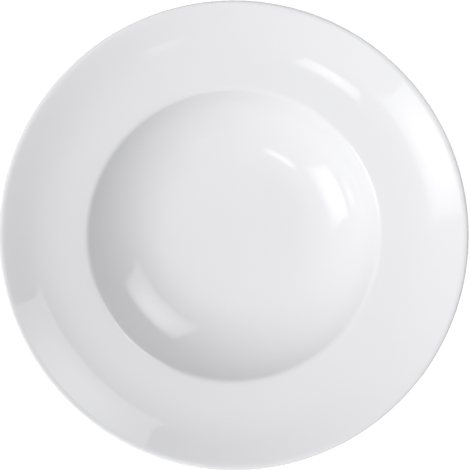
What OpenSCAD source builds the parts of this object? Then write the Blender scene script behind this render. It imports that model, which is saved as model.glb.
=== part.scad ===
// Rimmed soup plate in glazed porcelain.
// One half section is drawn as straight stretches with rounded corners, and turned about Z.
// The origin is the centre of the foot ring's seat, so the plate stands on z = 0.

/* [Plate] */
// Overall diameter, over the glaze
plate_d = 230; // [226:1:234]
// Overall height over the glaze, from the table to the top of the lip
plate_h = 40; // [39:0.5:41]

/* [Well] */
// Diameter of the verge, the edge where the well meets the rim
well_d = 145; // [143:1:148]
// Height of the well's glazed floor above the table
floor_z = 8; // [7.6:0.1:8.6]
// Slope of the well's wall in degrees
wall_slope = 51; // [49:0.5:52]
// Radius of the sweep from the floor into the wall
sweep_r = 48; // [36:1:50]
// Radius of the rounded verge
verge_r = 4; // [2:0.5:6]

/* [Rim] */
// Slope of the rim beside the verge in degrees
rim_slope_in = 10; // [8:0.5:12]
// Slope of the rim beside the lip in degrees
rim_slope_out = 23.5; // [21:0.5:25]
// Diameter where the rim's two slopes would meet in a sharp knee
knee_d = 188; // [186:1:192]
// Radius of the sweep that replaces the knee
knee_r = 82; // [40:1:110]
// Radius of the rounded lip, over the glaze
lip_r = 1.85; // [1.6:0.05:2]

/* [Thickness] */
// Thickness of the rim at its knee
knee_t = 4.3; // [4:0.1:4.8]
// Thickness of the wall, and of the rim at the verge
verge_t = 4.8; // [4.4:0.1:5.2]

/* [Foot ring] */
// Outer diameter of the flat seat, before its edges are rounded
seat_d = 110; // [106:1:112]
// Width of the flat seat, before its edges are rounded
seat_w = 3; // [2.4:0.1:3.6]
// Height of the foot ring's outside
foot_h = 6; // [5:0.5:7]
// Lean of the foot ring's flanks from upright in degrees
flank_lean = 14; // [10:1:18]
// Radius of the seat's edges
seat_edge_r = 0.8; // [0.4:0.1:1]
// Radius of the hollow between foot ring and back
foot_root_r = 3; // [1.5:0.5:4]
// Slope of the back beside the foot ring in degrees
base_slope = 24; // [20:1:30]
// Radius of the back's sweep from there into the wall
back_sweep_r = 18; // [10:1:22]
// Depth of the recess inside the foot ring
recess_h = 3.4; // [3:0.1:3.8]
// Radius of the recess's corner
recess_r = 2; // [1:0.5:2]

/* [Glaze] */
// Thickness of the glaze
glaze_t = 0.3; // [0.2:0.05:0.4]
// Height of the foot ring that is wiped bare of glaze
bare_h = 1.3; // [1.1:0.1:1.4]

/* [Hidden] */

// Steps of a turn, and how far the chords of a rounded corner may stray from its arc
turn_steps = 180;
stray = 0.01;

// The section is worked out for the bare body, one glaze thickness inside the glazed faces
bare_lip_r = lip_r - glaze_t;
bare_floor_z = floor_z - glaze_t;
lip_centre = [plate_d / 2 - lip_r, plate_h - lip_r];

// Face, from the lip inwards: each corner follows from the one before it
lip_face = lip_centre + bare_lip_r * left_of(rim_slope_out);
knee = crossing(lip_face, rim_slope_out, [knee_d / 2, 0], 90);
verge = crossing(knee, rim_slope_in, [well_d / 2, 0], 90);
floor_edge = crossing(verge, wall_slope, [0, bare_floor_z], 0);
floor_centre = [0, bare_floor_z];

// Back, from the lip inwards: each corner lies behind its corner of the face
knee_back = behind(knee, rim_slope_in, rim_slope_out, knee_t);
verge_back = behind(verge, wall_slope, rim_slope_in, verge_t);
back_slope = lower_tangent(knee_back, lip_centre, bare_lip_r);
lip_back = lip_centre - bare_lip_r * left_of(back_slope);

// Two corners in front of the lip, which it rounds into one half turn
tip_slope = (rim_slope_out + back_slope) / 2;
tip = lip_centre + bare_lip_r * along(tip_slope);
tip_low = crossing(lip_back, back_slope, tip, tip_slope + 90);
tip_high = crossing(lip_face, rim_slope_out, tip, tip_slope + 90);

// Foot ring, and the back's sweep from it into the wall
flank_out_slope = 90 - flank_lean;
flank_in_slope = 90 + flank_lean;
seat_out = [seat_d / 2, 0];
seat_in = [seat_d / 2 - seat_w, 0];
foot_root = crossing(seat_out, flank_out_slope, [0, foot_h], 0);
sweep_back = crossing(foot_root, base_slope, verge_back, wall_slope);
flank_out = crossing(seat_out, flank_out_slope, [0, bare_h], 0);
flank_in = crossing(seat_in, flank_in_slope, [0, bare_h], 0);
recess_edge = crossing(seat_in, flank_in_slope, [0, recess_h], 0);
recess_centre = [0, recess_h];

// The section's stretches as lists of [r, z, radius of the corner], with the outside on their right
recess_path = [corner(recess_centre), corner(recess_edge, recess_r), corner(flank_in)];
seat_path = [
    corner(flank_in),
    corner(seat_in, seat_edge_r),
    corner(seat_out, seat_edge_r),
    corner(flank_out)
];
coat_path = [
    corner(flank_out),
    corner(foot_root, foot_root_r),
    corner(sweep_back, back_sweep_r),
    corner(verge_back, verge_r + verge_t),
    corner(knee_back, knee_r + knee_t),
    corner(tip_low, bare_lip_r),
    corner(tip_high, bare_lip_r),
    corner(knee, knee_r),
    corner(verge, verge_r),
    corner(floor_edge, sweep_r),
    corner(floor_centre)
];

// Point of a stretch with the radius that rounds it
function corner(point, radius = 0) = [point.x, point.y, radius];
function xy(c) = [c.x, c.y];

// Unit steps along a slope, which runs outwards and up, and to its left
function along(slope) = [cos(slope), sin(slope)];
function left_of(slope) = along(slope + 90);

// Point where two lines cross, each given by a point and a slope
function crossing(p, p_slope, q, q_slope) =
    let (u = along(p_slope), v = along(q_slope))
    p + u * cross(q - p, v) / cross(u, v);

// Point at thickness t behind a corner of the face, given the slopes on its two sides
function behind(point, slope_in, slope_out, t) =
    point - t / cos((slope_out - slope_in) / 2) * left_of((slope_in + slope_out) / 2);

// Slope of the line from a point to the underside of a circle
function lower_tangent(point, centre, radius) =
    let (to = centre - point)
    atan2(to.y, to.x) - asin(radius / norm(to));

// Direction from one corner to the next, the turn at a corner and how much of each side its arc takes
function heading(a, b) = (xy(b) - xy(a)) / norm(xy(b) - xy(a));
function turn_at(path, i) =
    let (h = heading(path[i - 1], path[i]), g = heading(path[i], path[i + 1]))
    atan2(cross(h, g), h * g);
function cut_at(path, i) =
    i == 0 || i == len(path) - 1 ? 0 : path[i].z * tan(abs(turn_at(path, i)) / 2);

// Length of the shortest straight stretch that is left between two arcs
function least_straight(path) =
    min([
        for (i = [1 : len(path) - 1])
            norm(xy(path[i]) - xy(path[i - 1])) - cut_at(path, i - 1) - cut_at(path, i)
    ]);

// Arc that rounds a corner, in chords that stray from it by a set amount
function round_corner(path, i) =
    let (
        radius = path[i].z,
        turn = turn_at(path, i),
        h = heading(path[i - 1], path[i]),
        from = atan2(h.y, h.x) - sign(turn) * 90,
        centre = xy(path[i]) - cut_at(path, i) * h - radius * along(from),
        n = ceil(abs(turn) / (2 * acos(1 - stray / radius)))
    )
    [for (k = [0 : n]) centre + radius * along(from + turn * k / n)];

// Points of a stretch with its corners rounded
function rounded(path) =
    assert(least_straight(path) > -stray, "a rounded corner is larger than the stretch beside it")
    [
        xy(path[0]),
        for (i = [1 : len(path) - 2]) each round_corner(path, i),
        xy(path[len(path) - 1])
    ];

// A stretch moved to its right by d, with its corners' radii changed to match
function shifted(path, d) =
    let (last = len(path) - 1)
    [
        for (i = [0 : last])
            let (
                h = heading(path[max(i - 1, 0)], path[max(i, 1)]),
                g = heading(path[min(i, last - 1)], path[min(i + 1, last)]),
                n = [h.y, -h.x],
                m = [g.y, -g.x]
            )
            corner(xy(path[i]) + d * (n + m) / (1 + n * m), path[i].z + d * sign(cross(h, g)))
    ];

function reversed(list) = [for (i = [len(list) - 1 : -1 : 0]) list[i]];

// Solid turned from a closed section
module turned(section) {
    rotate_extrude($fn = turn_steps) polygon(section);
}

// Layer of glaze that lies on a stretch of the body
module glazed(path) {
    turned(concat(rounded(shifted(path, glaze_t)), reversed(rounded(path))));
}

// Fired porcelain with floor, wall, verge, rim, lip and foot ring in one piece
module porcelain_body() {
    color("ivory") turned(concat(rounded(recess_path), rounded(seat_path), rounded(coat_path)));
}

// Glass over face, lip and back, ending on the foot ring's outer flank
module glaze_coat() {
    color("white") glazed(coat_path);
}

// Glass in the recess, ending on the foot ring's inner flank
module recess_glaze() {
    color("white") glazed(recess_path);
}

porcelain_body();
glaze_coat();
recess_glaze();
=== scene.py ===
"""Rimmed soup plate in white glazed porcelain, photographed from straight above in a studio.

Laid out as an add-on and run as a script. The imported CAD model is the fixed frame, and each operator makes
one piece of the plate, or the stage, in that frame. All lengths are in metres.
"""

import math

import bmesh
import bpy
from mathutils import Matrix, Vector


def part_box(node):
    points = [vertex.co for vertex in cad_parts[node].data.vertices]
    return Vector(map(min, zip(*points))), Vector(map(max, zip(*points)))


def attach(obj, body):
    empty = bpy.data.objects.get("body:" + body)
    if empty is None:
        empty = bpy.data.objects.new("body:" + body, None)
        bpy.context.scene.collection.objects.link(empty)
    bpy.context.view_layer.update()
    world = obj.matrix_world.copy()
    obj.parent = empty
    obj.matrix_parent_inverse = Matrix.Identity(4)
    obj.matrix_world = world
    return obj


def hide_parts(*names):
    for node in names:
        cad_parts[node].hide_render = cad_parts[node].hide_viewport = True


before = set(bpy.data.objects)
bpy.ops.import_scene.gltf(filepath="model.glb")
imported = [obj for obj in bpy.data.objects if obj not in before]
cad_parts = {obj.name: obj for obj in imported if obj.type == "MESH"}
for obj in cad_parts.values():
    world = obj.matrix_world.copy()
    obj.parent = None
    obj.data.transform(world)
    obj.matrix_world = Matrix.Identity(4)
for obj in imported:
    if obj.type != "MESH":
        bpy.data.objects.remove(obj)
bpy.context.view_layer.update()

bl_info = {
    "name": "Rimmed soup plate",
    "version": (1, 0, 0),
    "blender": (4, 5, 0),
    "location": "3D View > Sidebar > Soup Plate",
    "description": "Makes a glazed porcelain soup plate around its CAD frame, with a studio to show it in",
    "category": "Object",
}

MM = 0.001
COAT_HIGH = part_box("glaze_coat")[1]

# The photograph's frame: a square picture in which the plate's outline is a circle
PICTURE_PX = 470
OUTLINE_RADIUS_PX = 235.2
OUTLINE_CENTRE_PX = (233.6, 235.4)

# How finely the pieces are turned: steps of a turn, rings on straight stretches, and chords beside their arc
TURN_STEPS = 160
RING_SPACING = 1.6 * MM
ARC_STRAY = 0.002 * MM

# Points closer than this are one, and edges that bend more than this stay sharp
WELD_DISTANCE = 0.001 * MM
CREASE_ANGLE = math.radians(30)

# Radius of the glaze's rounded end on the foot ring, as a share of its thickness
BEAD_SHARE = 0.8

# Porcelain and its glaze bend light alike, and most values of a noise texture lie between these two
PORCELAIN_IOR = 1.5
NOISE_LOW, NOISE_HIGH = 0.3, 0.7

# Glaze: how fast pooled glaze fades, its clouds, its roughness and its flow waves
POOL_FADE = 4.0
CLOUD_WIDTH = 40 * MM
CLOUD_SHADE = (0.995, 1.005)
GLAZE_ROUGHNESS = (0.02, 0.03)
FLOW_WIDTH = 12 * MM
FLOW_HEIGHT = 0.012 * MM

# Biscuit: its mottling, grinding rings, rubbed patches, roughness where dry and where rubbed, and grit
MOTTLE_WIDTH = 4 * MM
MOTTLE_SHADE = (0.95, 1.03)
GRIND_GAP = 0.7 * MM
GRIND_WAVER = 1.5
PATCH_WIDTH = 15 * MM
BISCUIT_ROUGHNESS = (0.85, 0.55)
GRIT_WIDTH = 0.5 * MM
GRIT_HEIGHT = 0.04 * MM

# Length of one wave of the wave texture at a scale of 1
TEXTURE_WAVE = 2 * math.pi / 20


def linear(hex_colour):
    """Linear red, green and blue of an sRGB colour such as 'F0E6D2'."""
    channels = [int(hex_colour[i:i + 2], 16) / 255 for i in (0, 2, 4)]
    return tuple(c / 12.92 if c <= 0.04045 else ((c + 0.055) / 1.055) ** 2.4 for c in channels)


def length(name, description, default):
    """A length that a user may change."""
    return bpy.props.FloatProperty(
        name=name, description=description, default=default, min=0.0, precision=5,
        subtype="DISTANCE", unit="LENGTH")


def angle(name, description, degrees):
    """An angle that a user may change."""
    return bpy.props.FloatProperty(
        name=name, description=description, default=math.radians(degrees),
        subtype="ANGLE", unit="ROTATION")


def colour(name, description, hex_colour):
    """A colour that a user may change."""
    return bpy.props.FloatVectorProperty(
        name=name, description=description, default=linear(hex_colour), min=0.0, max=1.0, size=3,
        subtype="COLOR")


class PlateSizes(bpy.types.PropertyGroup):
    """Sizes of the plate's section."""
    plate_r: length("Plate radius", "Outer radius over the glaze", COAT_HIGH.x)
    plate_h: length("Plate height", "From the table to the top of the lip", COAT_HIGH.z)
    well_r: length("Well radius", "Radius of the verge, where the well meets the rim", 71.9 * MM)
    floor_z: length("Floor height", "Height of the well's floor above the table", 8 * MM)
    wall_slope: angle("Wall slope", "Slope of the well's wall", 51)
    sweep_r: length("Sweep radius", "Radius of the sweep from the floor into the wall", 47 * MM)
    verge_r: length("Verge radius", "Radius that rounds the verge", 4 * MM)
    rim_slope_in: angle("Inner rim slope", "Slope of the rim beside the verge", 10)
    rim_slope_out: angle("Outer rim slope", "Slope of the rim beside the lip", 23.5)
    knee_at: length("Knee at", "Radius where the rim's two slopes would meet", 94 * MM)
    knee_r: length("Knee radius", "Radius of the sweep that joins the rim's two slopes", 82 * MM)
    lip_r: length("Lip radius", "Radius that rounds the lip's underside, over the glaze", 1.85 * MM)
    edge_r: length("Edge radius", "Radius that rounds the lip's outer edge, over the glaze", 1.25 * MM)
    knee_t: length("Rim thickness", "Thickness of the body at the knee", 4.3 * MM)
    verge_t: length("Wall thickness", "Thickness of the body at the verge and in the wall", 4.8 * MM)
    seat_r: length("Seat radius", "Outer radius of the foot ring's seat", 55 * MM)
    seat_w: length("Seat width", "Width of the foot ring's seat", 3 * MM)
    foot_h: length("Foot height", "Height of the foot ring's outside", 6 * MM)
    flank_lean: angle("Flank lean", "Lean of the foot ring's flanks from upright", 14)
    seat_edge_r: length("Seat edge radius", "Radius that rounds the seat's edges", 0.8 * MM)
    foot_root_r: length("Foot root radius", "Radius of the hollow between foot ring and back", 3 * MM)
    base_slope: angle("Base slope", "Slope of the back beside the foot ring", 24)
    back_sweep_r: length("Back sweep radius", "Radius of the back's sweep into the wall", 18 * MM)
    recess_h: length("Recess depth", "Depth of the recess inside the foot ring", 3.4 * MM)
    recess_r: length("Recess corner radius", "Radius of the recess's corner", 2 * MM)
    glaze_t: length("Glaze thickness", "Thickness of the glaze", 0.3 * MM)
    bare_h: length("Bare height", "Height of the foot ring that is wiped bare", 1.3 * MM)


class PlateFinish(bpy.types.PropertyGroup):
    """Colours of the plate and its floor."""
    glaze: colour("Glaze", "Clear glaze over white porcelain", "E0E0E2")
    pooled: colour("Pooled glaze", "Glaze where it has run together in a hollow", "D3DADD")
    biscuit: colour("Biscuit", "Bare fired porcelain of the foot ring", "E9E3D8")
    rubbed: colour("Rubbed biscuit", "Foot ring where it has rubbed on tables", "B9B4AC")
    floor: colour("Floor", "Pale studio floor", "F4F4F4")


class Corner:
    """A point of a section, the radius that rounds it, and how far it bears its finish's mark.

    The mark on glaze is how deep it has pooled, and on biscuit how much it is rubbed.
    """

    def __init__(self, at, radius=0.0, mark=0.0):
        self.at = Vector(at)
        self.radius = radius
        self.mark = mark


def along(slope):
    """Unit step along a slope, outwards and up."""
    return Vector((math.cos(slope), math.sin(slope)))


def right_of(step):
    """Unit step to the right of another."""
    return Vector((step.y, -step.x))


def cross(a, b):
    """How far b turns to the left of a, as the area that they span."""
    return a.x * b.y - a.y * b.x


def crossing(p, p_slope, q, q_slope):
    """Point where two lines cross, each given by a point and a slope."""
    u, v = along(p_slope), along(q_slope)
    return p + u * (cross(q - p, v) / cross(u, v))


def behind(point, slope_in, slope_out, thickness):
    """Point at a thickness below a corner of the face whose two slopes are given."""
    lean = (slope_in + slope_out) / 2
    half = (slope_out - slope_in) / 2
    return point + right_of(along(lean)) * (thickness / math.cos(half))


def headings(path, i):
    """Unit steps into and out of a corner, which are the same at the ends of the path."""
    last = len(path) - 1
    into = path[max(i, 1)].at - path[max(i - 1, 0)].at
    out_of = path[min(i + 1, last)].at - path[min(i, last - 1)].at
    return into.normalized(), out_of.normalized()


def shifted(path, distance):
    """A path moved to its right, with its corners' radii changed to match."""
    moved = []
    for i, corner in enumerate(path):
        into, out_of = headings(path, i)
        n, m = right_of(into), right_of(out_of)
        at = corner.at + (n + m) * (distance / (1 + n.dot(m)))
        change = math.copysign(distance, cross(into, out_of)) if corner.radius else 0.0
        moved.append(Corner(at, corner.radius + change, corner.mark))
    return moved


def arc_steps(path, i):
    """How many chords round a corner without straying too far from its arc."""
    into, out_of = headings(path, i)
    turn = abs(math.atan2(cross(into, out_of), into.dot(out_of)))
    radius = path[i].radius
    return math.ceil(turn / (2 * math.acos(1 - ARC_STRAY / radius))) if radius else 1


def plate_paths(s):
    """The bare body's recess, seat and coated stretch.

    Together they run from the axis outwards, round the lip and back to the axis, and the outside is on their
    right.
    """
    lip = Vector((s.plate_r - s.lip_r, s.plate_h - s.lip_r))
    lip_r = s.lip_r - s.glaze_t
    floor_z = s.floor_z - s.glaze_t
    lip_face = lip - right_of(along(s.rim_slope_out)) * lip_r
    knee = crossing(lip_face, s.rim_slope_out, Vector((s.knee_at, 0)), math.pi / 2)
    verge = crossing(knee, s.rim_slope_in, Vector((s.well_r, 0)), math.pi / 2)
    floor_edge = crossing(verge, s.wall_slope, Vector((0, floor_z)), 0)

    knee_back = behind(knee, s.rim_slope_in, s.rim_slope_out, s.knee_t)
    verge_back = behind(verge, s.wall_slope, s.rim_slope_in, s.verge_t)
    to_lip = lip - knee_back
    back_slope = math.atan2(to_lip.y, to_lip.x) - math.asin(lip_r / to_lip.length)
    lip_back = lip + right_of(along(back_slope)) * lip_r

    # On top of the lip the rim levels out in a wide arc, which runs straight on into the tighter outer edge
    tip_high = Vector((s.plate_r - s.glaze_t, s.plate_h - s.glaze_t))
    tip_low = crossing(lip_back, back_slope, tip_high, math.pi / 2)
    crown = crossing(lip_face, s.rim_slope_out, tip_high, 0)
    edge_r = s.edge_r - s.glaze_t
    crown_r = (tip_high.x - edge_r - crown.x) / math.tan(s.rim_slope_out / 2)

    flank = math.pi / 2 - s.flank_lean
    seat_out = Vector((s.seat_r, 0))
    seat_in = Vector((s.seat_r - s.seat_w, 0))
    foot_root = crossing(seat_out, flank, Vector((0, s.foot_h)), 0)
    sweep_back = crossing(foot_root, s.base_slope, verge_back, s.wall_slope)
    flank_out = crossing(seat_out, flank, Vector((0, s.bare_h)), 0)
    flank_in = crossing(seat_in, math.pi - flank, Vector((0, s.bare_h)), 0)
    recess_edge = crossing(seat_in, math.pi - flank, Vector((0, s.recess_h)), 0)

    recess = [Corner((0, s.recess_h)), Corner(recess_edge, s.recess_r, mark=1.0), Corner(flank_in)]
    seat = [
        Corner(flank_in),
        Corner(seat_in, s.seat_edge_r, mark=1.0),
        Corner(seat_out, s.seat_edge_r, mark=1.0),
        Corner(flank_out),
    ]
    coated = [
        Corner(flank_out),
        Corner(foot_root, s.foot_root_r, mark=1.0),
        Corner(sweep_back, s.back_sweep_r),
        Corner(verge_back, s.verge_r + s.verge_t, mark=0.7),
        Corner(knee_back, s.knee_r + s.knee_t),
        Corner(tip_low, lip_r),
        Corner(tip_high, edge_r),
        Corner(crown, crown_r),
        Corner(knee, s.knee_r),
        Corner(verge, s.verge_r),
        Corner(floor_edge, s.sweep_r),
        Corner((0, floor_z)),
    ]
    return recess, seat, coated


def glaze_section(path, thickness):
    """Closed outline of a layer of glaze on a path of the body, ending on the foot ring in a rounded bead."""
    face = shifted(path, thickness)
    foot_end = face[0] if face[0].at.x > 0 else face[-1]
    foot_end.radius = BEAD_SHARE * thickness
    return face[::-1] + path if foot_end is face[0] else face + path[::-1]


def add_node(tree, kind, settings=None, inputs=None):
    """Adds a node, sets its properties, and sets or links its inputs."""
    node = tree.nodes.new(kind)
    for name, value in (settings or {}).items():
        setattr(node, name, value)
    for name, value in (inputs or {}).items():
        if isinstance(value, bpy.types.NodeSocket):
            tree.links.new(value, node.inputs[name])
        else:
            node.inputs[name].default_value = value
    return node


# Sockets of a Mix node that are used for colours
MIX_A, MIX_B, MIX_RESULT = 6, 7, 2


def turning_tree():
    """Geometry nodes that round the corners of a section and turn it once about the Z axis."""
    tree = bpy.data.node_groups.new("turned_section", "GeometryNodeTree")
    tree.interface.new_socket("Geometry", in_out="OUTPUT", socket_type="NodeSocketGeometry")
    for name, kind in (
        ("Section", "NodeSocketGeometry"),
        ("Spacing", "NodeSocketFloat"),
        ("Turn Steps", "NodeSocketInt"),
        ("Material", "NodeSocketMaterial"),
    ):
        tree.interface.new_socket(name, in_out="INPUT", socket_type=kind)
    given = add_node(tree, "NodeGroupInput").outputs

    # The section's edges become a curve, and each corner an arc of its own radius and number of chords
    sharp = add_node(tree, "GeometryNodeMeshToCurve", inputs={"Mesh": given["Section"]})
    radius = add_node(tree, "GeometryNodeInputNamedAttribute", {"data_type": "FLOAT"}, {
        "Name": "corner_radius",
    })
    chords = add_node(tree, "GeometryNodeInputNamedAttribute", {"data_type": "INT"}, {
        "Name": "arc_steps",
    })
    rounded = add_node(tree, "GeometryNodeFilletCurve", {"mode": "POLY"}, {
        "Curve": sharp.outputs["Curve"],
        "Count": chords.outputs["Attribute"],
        "Radius": radius.outputs["Attribute"],
        "Limit Radius": True,
    })

    # Straight stretches that are longer than the spacing are divided
    place_on = add_node(tree, "GeometryNodeSplineParameter").outputs["Length"]
    number = add_node(tree, "GeometryNodeInputIndex")
    following = add_node(tree, "ShaderNodeMath", {"operation": "ADD"}, {0: number.outputs["Index"], 1: 1.0})
    place_after = add_node(tree, "GeometryNodeFieldAtIndex", {"data_type": "FLOAT", "domain": "POINT"}, {
        "Value": place_on, "Index": following.outputs["Value"],
    })
    stretch = add_node(tree, "ShaderNodeMath", {"operation": "SUBTRACT"}, {
        0: place_after.outputs["Value"], 1: place_on,
    })
    cuts = add_node(tree, "ShaderNodeMath", {"operation": "DIVIDE"}, {
        0: stretch.outputs["Value"], 1: given["Spacing"],
    })
    line = add_node(tree, "GeometryNodeSubdivideCurve", inputs={
        "Curve": rounded.outputs["Curve"], "Cuts": cuts.outputs["Value"],
    }).outputs["Curve"]

    # A centred grid of width 1 has a row for each point of the curve and a column for each step of the turn
    size = add_node(tree, "GeometryNodeAttributeDomainSize", {"component": "CURVE"}, {"Geometry": line})
    rows = size.outputs["Point Count"]
    columns = add_node(tree, "ShaderNodeMath", {"operation": "ADD"}, {0: given["Turn Steps"], 1: 1.0})
    grid = add_node(tree, "GeometryNodeMeshGrid", inputs={
        "Size X": 1.0, "Size Y": 1.0, "Vertices X": rows, "Vertices Y": columns.outputs["Value"],
    })
    place = add_node(tree, "GeometryNodeInputPosition").outputs["Position"]
    split = add_node(tree, "ShaderNodeSeparateXYZ", inputs={"Vector": place})
    share = add_node(tree, "ShaderNodeMath", {"operation": "ADD"}, {0: split.outputs["X"], 1: 0.5})
    last = add_node(tree, "ShaderNodeMath", {"operation": "SUBTRACT"}, {0: rows, 1: 1.0})
    along_rows = add_node(tree, "ShaderNodeMath", {"operation": "MULTIPLY"}, {
        0: share.outputs["Value"], 1: last.outputs["Value"],
    })
    row = add_node(tree, "ShaderNodeMath", {"operation": "ROUND"}, {
        0: along_rows.outputs["Value"],
    }).outputs["Value"]

    # Each row takes its point's place and mark, and each column turns it further
    on_line = add_node(tree, "GeometryNodeSampleIndex", {"data_type": "FLOAT_VECTOR", "domain": "POINT"}, {
        "Geometry": line, "Value": place, "Index": row,
    })
    mark = add_node(tree, "GeometryNodeInputNamedAttribute", {"data_type": "FLOAT"}, {"Name": "mark"})
    mark_on_line = add_node(tree, "GeometryNodeSampleIndex", {"data_type": "FLOAT", "domain": "POINT"}, {
        "Geometry": line, "Value": mark.outputs["Attribute"], "Index": row,
    })
    marked = add_node(tree, "GeometryNodeStoreNamedAttribute", {"data_type": "FLOAT", "domain": "POINT"}, {
        "Geometry": grid.outputs["Mesh"], "Name": "mark", "Value": mark_on_line.outputs["Value"],
    })
    turn = add_node(tree, "ShaderNodeMath", {"operation": "MULTIPLY"}, {
        0: split.outputs["Y"], 1: 2 * math.pi,
    })
    turned = add_node(tree, "ShaderNodeVectorRotate", {"rotation_type": "Z_AXIS"}, {
        "Vector": on_line.outputs["Value"], "Angle": turn.outputs["Value"],
    })
    placed = add_node(tree, "GeometryNodeSetPosition", inputs={
        "Geometry": marked.outputs["Geometry"], "Position": turned.outputs["Vector"],
    })

    # The seam and the two poles close, and only true corners stay sharp
    closed = add_node(tree, "GeometryNodeMergeByDistance", inputs={
        "Geometry": placed.outputs["Geometry"], "Distance": WELD_DISTANCE,
    })
    smooth = add_node(tree, "GeometryNodeSetShadeSmooth", inputs={"Geometry": closed.outputs["Geometry"]})
    bend = add_node(tree, "GeometryNodeInputMeshEdgeAngle").outputs["Unsigned Angle"]
    corner = add_node(tree, "FunctionNodeCompare", {"data_type": "FLOAT", "operation": "GREATER_THAN"}, {
        "A": bend, "B": CREASE_ANGLE,
    })
    creased = add_node(tree, "GeometryNodeSetShadeSmooth", {"domain": "EDGE"}, {
        "Geometry": smooth.outputs["Geometry"], "Selection": corner.outputs["Result"], "Shade Smooth": False,
    })
    plain = add_node(tree, "GeometryNodeRealizeInstances", inputs={"Geometry": creased.outputs["Geometry"]})
    made = add_node(tree, "GeometryNodeSetMaterial", inputs={
        "Geometry": plain.outputs["Geometry"], "Material": given["Material"],
    })
    add_node(tree, "NodeGroupOutput", inputs={"Geometry": made.outputs["Geometry"]})
    return tree


def turned_piece(name, section, spacing, turn_steps, material):
    """A closed piece turned from a section that runs from the axis to the axis."""
    mesh = bpy.data.meshes.new(name)
    points = [(c.at.x, 0, c.at.y) for c in section]
    mesh.from_pydata(points, [(i, i + 1) for i in range(len(points) - 1)], [])
    for attribute, kind, values in (
        ("corner_radius", "FLOAT", [c.radius for c in section]),
        ("arc_steps", "INT", [arc_steps(section, i) for i in range(len(section))]),
        ("mark", "FLOAT", [c.mark for c in section]),
    ):
        mesh.attributes.new(attribute, kind, "POINT").data.foreach_set("value", values)
    piece = bpy.data.objects.new(name, mesh)
    bpy.context.scene.collection.objects.link(piece)

    tree = bpy.data.node_groups.get("turned_section") or turning_tree()
    turning = piece.modifiers.new("Turning", "NODES")
    turning.node_group = tree
    values = {"Spacing": spacing, "Turn Steps": turn_steps, "Material": material}
    for item in tree.interface.items_tree:
        if item.name in values:
            turning[item.identifier] = values[item.name]

    depsgraph = bpy.context.evaluated_depsgraph_get()
    made = bpy.data.meshes.new_from_object(piece.evaluated_get(depsgraph), depsgraph=depsgraph)
    piece.modifiers.remove(turning)
    piece.data = made
    bpy.data.meshes.remove(mesh)
    made.name = name

    shell = bmesh.new()
    shell.from_mesh(made)
    bmesh.ops.recalc_face_normals(shell, faces=shell.faces)
    open_edges = [e for e in shell.edges if not e.is_manifold]
    shell.to_mesh(made)
    shell.free()
    if open_edges:
        raise RuntimeError(f"{name} isn't closed: {len(open_edges)} edges")
    return piece


def glazed_porcelain(finish):
    """Clear feldspar glaze, dipped and fired on white porcelain.

    It gives an even white under a wet gloss. Mirror images waver a little where the glaze has flowed, and a
    hollow in which it has pooled looks cool and grey.
    """
    material = bpy.data.materials.new("glazed_porcelain")
    material.use_nodes = True
    tree = material.node_tree
    shader = tree.nodes["Principled BSDF"]
    shader.inputs["IOR"].default_value = PORCELAIN_IOR
    where = add_node(tree, "ShaderNodeTexCoord").outputs["Object"]

    # Pooled glaze fades out quickly beside its hollow
    mark = add_node(tree, "ShaderNodeAttribute", {"attribute_name": "mark"})
    depth = add_node(tree, "ShaderNodeMath", {"operation": "POWER"}, {
        0: mark.outputs["Fac"], 1: POOL_FADE,
    })
    tint = add_node(tree, "ShaderNodeMix", {"data_type": "RGBA"}, {
        0: depth.outputs["Value"], MIX_A: (*finish.glaze, 1.0), MIX_B: (*finish.pooled, 1.0),
    })

    # Faint clouds, where the body or the glaze is a little denser
    clouds = add_node(tree, "ShaderNodeTexNoise", inputs={
        "Vector": where, "Scale": 1 / CLOUD_WIDTH, "Detail": 2.0,
    })
    density = add_node(tree, "ShaderNodeMapRange", inputs={
        "Value": clouds.outputs["Fac"], "From Min": NOISE_LOW, "From Max": NOISE_HIGH,
        "To Min": CLOUD_SHADE[0], "To Max": CLOUD_SHADE[1],
    })
    white = add_node(tree, "ShaderNodeVectorMath", {"operation": "SCALE"}, {
        0: tint.outputs[MIX_RESULT], "Scale": density.outputs["Result"],
    })
    tree.links.new(white.outputs["Vector"], shader.inputs["Base Color"])
    gloss = add_node(tree, "ShaderNodeMapRange", inputs={
        "Value": clouds.outputs["Fac"], "From Min": NOISE_LOW, "From Max": NOISE_HIGH,
        "To Min": GLAZE_ROUGHNESS[0], "To Max": GLAZE_ROUGHNESS[1],
    })
    tree.links.new(gloss.outputs["Result"], shader.inputs["Roughness"])

    # Low waves, left where the glaze flowed
    waves = add_node(tree, "ShaderNodeTexNoise", inputs={
        "Vector": where, "Scale": 1 / FLOW_WIDTH, "Detail": 1.0,
    })
    surface = add_node(tree, "ShaderNodeBump", inputs={
        "Height": waves.outputs["Fac"], "Distance": FLOW_HEIGHT,
    })
    tree.links.new(surface.outputs["Normal"], shader.inputs["Normal"])
    return material


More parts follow.
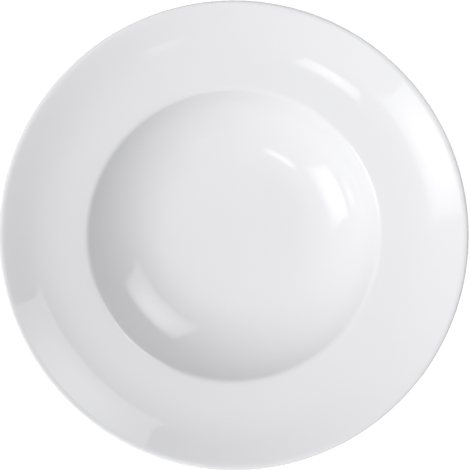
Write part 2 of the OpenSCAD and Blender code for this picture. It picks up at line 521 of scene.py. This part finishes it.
def bare_biscuit(finish):
    """Unglazed fired porcelain, sponged clean before the firing and ground flat on its seat.

    It is warm, dry and matt, with a fine grit, and grey in the rings where the seat has rubbed on tables.
    """
    material = bpy.data.materials.new("bare_biscuit_porcelain")
    material.use_nodes = True
    tree = material.node_tree
    shader = tree.nodes["Principled BSDF"]
    shader.inputs["IOR"].default_value = PORCELAIN_IOR
    where = add_node(tree, "ShaderNodeTexCoord").outputs["Object"]

    # Mottling of the clay
    mottle = add_node(tree, "ShaderNodeTexNoise", inputs={
        "Vector": where, "Scale": 1 / MOTTLE_WIDTH, "Detail": 3.0,
    })
    shade = add_node(tree, "ShaderNodeMapRange", inputs={
        "Value": mottle.outputs["Fac"], "From Min": NOISE_LOW, "From Max": NOISE_HIGH,
        "To Min": MOTTLE_SHADE[0], "To Max": MOTTLE_SHADE[1],
    })
    body = add_node(tree, "ShaderNodeVectorMath", {"operation": "SCALE"}, {
        0: finish.biscuit, "Scale": shade.outputs["Result"],
    })

    # Grinding rings, drawn coarser than they are so that they show, which hold the grey of the tables
    rings = add_node(tree, "ShaderNodeTexWave", {"wave_type": "RINGS", "rings_direction": "Z"}, {
        "Vector": where, "Scale": TEXTURE_WAVE / GRIND_GAP, "Distortion": GRIND_WAVER, "Detail": 2.0,
    })
    patches = add_node(tree, "ShaderNodeTexNoise", inputs={
        "Vector": where, "Scale": 1 / PATCH_WIDTH, "Detail": 2.0,
    })
    mark = add_node(tree, "ShaderNodeAttribute", {"attribute_name": "mark"})
    worn = add_node(tree, "ShaderNodeMath", {"operation": "MULTIPLY"}, {
        0: mark.outputs["Fac"], 1: patches.outputs["Fac"],
    })
    rub = add_node(tree, "ShaderNodeMath", {"operation": "MULTIPLY"}, {
        0: worn.outputs["Value"], 1: rings.outputs["Fac"],
    })
    colour_mix = add_node(tree, "ShaderNodeMix", {"data_type": "RGBA"}, {
        0: rub.outputs["Value"], MIX_A: body.outputs["Vector"], MIX_B: (*finish.rubbed, 1.0),
    })
    tree.links.new(colour_mix.outputs[MIX_RESULT], shader.inputs["Base Color"])
    roughness = add_node(tree, "ShaderNodeMapRange", inputs={
        "Value": worn.outputs["Value"], "To Min": BISCUIT_ROUGHNESS[0], "To Max": BISCUIT_ROUGHNESS[1],
    })
    tree.links.new(roughness.outputs["Result"], shader.inputs["Roughness"])

    # Grit, drawn coarser than it is so that it shows
    grit = add_node(tree, "ShaderNodeTexNoise", inputs={
        "Vector": where, "Scale": 1 / GRIT_WIDTH, "Detail": 3.0,
    })
    surface = add_node(tree, "ShaderNodeBump", inputs={
        "Height": grit.outputs["Fac"], "Distance": GRIT_HEIGHT,
    })
    tree.links.new(surface.outputs["Normal"], shader.inputs["Normal"])
    return material


def named_material(maker, name, finish):
    """The material of that name, made once."""
    return bpy.data.materials.get(name) or maker(finish)


# The bright wall: where its middle lies, how narrow it is, its radiance, and that of the rest of the room
WALL_COMPASS = math.radians(212)
WALL_ZENITH = math.radians(51.5)
WALL_FOCUS = 24.0
WALL_RADIANCE = 5.3
ROOM_RADIANCE = 0.25

# The floor: how far it reaches, how far below the foot ring it lies, its roughness and its glow to the eye
FLOOR_REACH = 3.0
FLOOR_DROP = 0.05 * MM
PAPER_ROUGHNESS = 0.9
FLOOR_GLOW = 0.6

# The camera: its lens and sensor in millimetres, and how far it sees
LENS_MM = 400
SENSOR_MM = 36
CAMERA_REACH = 20


class Softbox:
    """A flat lamp that faces the plate, placed by how the plate's centre sees it, and hottest by its bulb.

    It has a compass angle, a width as a share of its distance, the zenith angles of its top and bottom, and
    the radiance by its bulb and at its edge. Angles are given in degrees.
    """

    def __init__(self, compass, span, top, bottom, bulb, edge):
        self.compass = math.radians(compass)
        self.span = span
        self.top = math.radians(top)
        self.bottom = math.radians(bottom)
        self.bulb = bulb
        self.edge = edge


# The softboxes: their distance, the bulb's place in shares of width and height, and how far its glow reaches
LAMP_DISTANCE = 4.0
BULB = (0.5, 0.4, 0.0)
FALL_OFF = 0.7
LAMPS = {
    "key_softbox": Softbox(203.5, 0.437, 33.8, 60.2, bulb=4.2, edge=1.1),
    "top_softbox": Softbox(238.6, 0.172, 23.1, 30.2, bulb=3.6, edge=1.5),
    "low_softbox": Softbox(199.5, 0.190, 66.5, 74.0, bulb=1.7, edge=0.9),
    "fill_softbox": Softbox(42.5, 0.605, 33.5, 64.0, bulb=4.6, edge=1.3),
    "side_softbox": Softbox(290.5, 0.130, 34.0, 39.5, bulb=1.4, edge=0.3),
}


def seen_rays(tree):
    """1 for rays that show a thing to the eye, straight, mirrored or through glass, and 0 for the others."""
    path = add_node(tree, "ShaderNodeLightPath").outputs
    mirrored = add_node(tree, "ShaderNodeMath", {"operation": "MAXIMUM"}, {
        0: path["Is Camera Ray"], 1: path["Is Glossy Ray"],
    })
    seen = add_node(tree, "ShaderNodeMath", {"operation": "MAXIMUM"}, {
        0: mirrored.outputs["Value"], 1: path["Is Transmission Ray"],
    })
    return seen.outputs["Value"]


def add_floor(scene):
    """A pale floor that looks white in the light and keeps the plate's shadow."""
    mesh = bpy.data.meshes.new("studio_floor")
    signs = ((-1, -1), (1, -1), (1, 1), (-1, 1))
    mesh.from_pydata([(x * FLOOR_REACH, y * FLOOR_REACH, -FLOOR_DROP) for x, y in signs], [], [(0, 1, 2, 3)])
    floor = bpy.data.objects.new("studio_floor", mesh)
    scene.collection.objects.link(floor)
    material = bpy.data.materials.new("matt_white_paper")
    material.use_nodes = True
    tree = material.node_tree
    shader = tree.nodes["Principled BSDF"]
    shader.inputs["Base Color"].default_value = (*scene.plate_finish.floor, 1.0)
    shader.inputs["Roughness"].default_value = PAPER_ROUGHNESS
    shader.inputs["Emission Color"].default_value = (1.0, 1.0, 1.0, 1.0)
    glow = add_node(tree, "ShaderNodeMath", {"operation": "MULTIPLY"}, {0: seen_rays(tree), 1: FLOOR_GLOW})
    tree.links.new(glow.outputs["Value"], shader.inputs["Emission Strength"])
    mesh.materials.append(material)


def towards(compass, zenith):
    """Unit step from the plate's centre, by compass angle from +X and angle from straight up."""
    level = math.sin(zenith)
    return Vector((level * math.cos(compass), level * math.sin(compass), math.cos(zenith)))


def add_surroundings(scene):
    """A wide bright wall on one side and little light from the rest, all plain white to the eye."""
    world = bpy.data.worlds.new("white_studio")
    world.use_nodes = True
    scene.world = world
    tree = world.node_tree
    direction = add_node(tree, "ShaderNodeTexCoord").outputs["Generated"]
    facing = add_node(tree, "ShaderNodeVectorMath", {"operation": "DOT_PRODUCT"}, {
        0: direction, 1: towards(WALL_COMPASS, WALL_ZENITH),
    })

    # From 0 straight away from the wall's middle to 1 straight towards it
    share = add_node(tree, "ShaderNodeMath", {"operation": "MULTIPLY_ADD"}, {
        0: facing.outputs["Value"], 1: 0.5, 2: 0.5,
    })
    wall = add_node(tree, "ShaderNodeMath", {"operation": "POWER"}, {
        0: share.outputs["Value"], 1: WALL_FOCUS,
    })
    light = add_node(tree, "ShaderNodeMath", {"operation": "MULTIPLY_ADD"}, {
        0: wall.outputs["Value"], 1: WALL_RADIANCE, 2: ROOM_RADIANCE,
    })
    strength = add_node(tree, "ShaderNodeMix", {"data_type": "FLOAT"}, {
        "Factor": seen_rays(tree), "A": light.outputs["Value"], "B": 1.0,
    })
    background = tree.nodes["Background"]
    background.inputs["Color"].default_value = (1.0, 1.0, 1.0, 1.0)
    tree.links.new(strength.outputs["Result"], background.inputs["Strength"])


def add_lamps(scene):
    """Softboxes round the plate."""
    for name, box in LAMPS.items():
        step = towards(box.compass, (box.top + box.bottom) / 2)
        light = bpy.data.lights.new(name, "AREA")
        light.shape = "RECTANGLE"
        light.size = box.span * LAMP_DISTANCE
        light.size_y = 2 * LAMP_DISTANCE * math.tan((box.bottom - box.top) / 2)
        light.energy = math.pi * light.size * light.size_y
        light.use_nodes = True
        tree = light.node_tree
        on_face = add_node(tree, "ShaderNodeNewGeometry").outputs["Parametric"]
        off_bulb = add_node(tree, "ShaderNodeVectorMath", {"operation": "DISTANCE"}, {0: on_face, 1: BULB})
        radiance = add_node(tree, "ShaderNodeMapRange", {"interpolation_type": "SMOOTHSTEP"}, {
            "Value": off_bulb.outputs["Value"], "From Max": FALL_OFF,
            "To Min": box.bulb, "To Max": box.edge,
        })
        tree.links.new(radiance.outputs["Result"], tree.nodes["Emission"].inputs["Strength"])
        lamp = bpy.data.objects.new(name, light)
        lamp.location = step * LAMP_DISTANCE
        lamp.rotation_euler = step.to_track_quat("Z", "Y").to_euler()
        lamp.visible_camera = False
        scene.collection.objects.link(lamp)


def add_camera(scene):
    """A long lens straight above the plate, with the top of the picture towards +Y."""
    sizes = scene.plate_sizes
    data = bpy.data.cameras.new("overhead_camera")
    data.lens = LENS_MM
    data.sensor_width = SENSOR_MM
    data.clip_end = CAMERA_REACH
    picture_width = 2 * sizes.plate_r * PICTURE_PX / (2 * OUTLINE_RADIUS_PX)
    distance = picture_width * data.lens / data.sensor_width
    data.shift_x = -(OUTLINE_CENTRE_PX[0] - PICTURE_PX / 2) / PICTURE_PX
    data.shift_y = (OUTLINE_CENTRE_PX[1] - PICTURE_PX / 2) / PICTURE_PX
    camera = bpy.data.objects.new("overhead_camera", data)
    camera.location.z = sizes.plate_h - sizes.lip_r + distance
    scene.collection.objects.link(camera)
    scene.camera = camera


class PLATE_OT_body(bpy.types.Operator):
    """Makes the fired porcelain body, bare only on the foot ring's seat"""
    bl_idname = "soup_plate.body"
    bl_label = "Porcelain Body"

    def execute(self, context):
        recess, seat, coated = plate_paths(context.scene.plate_sizes)
        section = recess[:-1] + seat + coated[1:]
        biscuit = named_material(bare_biscuit, "bare_biscuit_porcelain", context.scene.plate_finish)
        piece = turned_piece("biscuit_body", section, RING_SPACING, TURN_STEPS, biscuit)
        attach(piece, "root")
        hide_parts("porcelain_body")
        return {"FINISHED"}


class PLATE_OT_coat(bpy.types.Operator):
    """Makes the glaze over face, lip and back, down to the foot ring"""
    bl_idname = "soup_plate.coat"
    bl_label = "Glaze Coat"

    def execute(self, context):
        sizes = context.scene.plate_sizes
        coated = plate_paths(sizes)[2]
        glaze = named_material(glazed_porcelain, "glazed_porcelain", context.scene.plate_finish)
        section = glaze_section(coated, sizes.glaze_t)
        piece = turned_piece("glaze_over_plate", section, RING_SPACING, TURN_STEPS, glaze)
        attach(piece, "root")
        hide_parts("glaze_coat")
        return {"FINISHED"}


class PLATE_OT_recess(bpy.types.Operator):
    """Makes the glaze on the underside, inside the foot ring"""
    bl_idname = "soup_plate.recess"
    bl_label = "Recess Glaze"

    def execute(self, context):
        sizes = context.scene.plate_sizes
        recess = plate_paths(sizes)[0]
        glaze = named_material(glazed_porcelain, "glazed_porcelain", context.scene.plate_finish)
        section = glaze_section(recess, sizes.glaze_t)
        piece = turned_piece("glaze_in_recess", section, RING_SPACING, TURN_STEPS, glaze)
        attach(piece, "root")
        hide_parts("recess_glaze")
        return {"FINISHED"}


class PLATE_OT_stage(bpy.types.Operator):
    """Makes the floor, the lamps, the white surroundings and the camera"""
    bl_idname = "soup_plate.stage"
    bl_label = "Studio"

    def execute(self, context):
        scene = context.scene
        scene.view_settings.view_transform = "Standard"
        add_floor(scene)
        add_surroundings(scene)
        add_lamps(scene)
        add_camera(scene)
        return {"FINISHED"}


class PLATE_PT_panel(bpy.types.Panel):
    """Sizes, colours and steps of the plate"""
    bl_idname = "PLATE_PT_panel"
    bl_label = "Soup Plate"
    bl_space_type = "VIEW_3D"
    bl_region_type = "UI"
    bl_category = "Soup Plate"

    def draw(self, context):
        for group in (context.scene.plate_sizes, context.scene.plate_finish):
            column = self.layout.column()
            for name in group.bl_rna.properties.keys():
                if name not in ("rna_type", "name"):
                    column.prop(group, name)
        for step in STEPS:
            self.layout.operator(step.bl_idname)


STEPS = (PLATE_OT_body, PLATE_OT_coat, PLATE_OT_recess, PLATE_OT_stage)
CLASSES = (PlateSizes, PlateFinish, *STEPS, PLATE_PT_panel)


def register():
    """Registers the classes and hangs the sizes and colours on the scene."""
    for cls in CLASSES:
        bpy.utils.register_class(cls)
    bpy.types.Scene.plate_sizes = bpy.props.PointerProperty(type=PlateSizes)
    bpy.types.Scene.plate_finish = bpy.props.PointerProperty(type=PlateFinish)


def unregister():
    """Takes back what register did."""
    del bpy.types.Scene.plate_finish
    del bpy.types.Scene.plate_sizes
    for cls in reversed(CLASSES):
        bpy.utils.unregister_class(cls)


def main():
    """Makes the pieces and the stage."""
    register()
    bpy.ops.soup_plate.body()
    bpy.ops.soup_plate.coat()
    bpy.ops.soup_plate.recess()
    bpy.ops.soup_plate.stage()


if __name__ == "__main__":
    main()
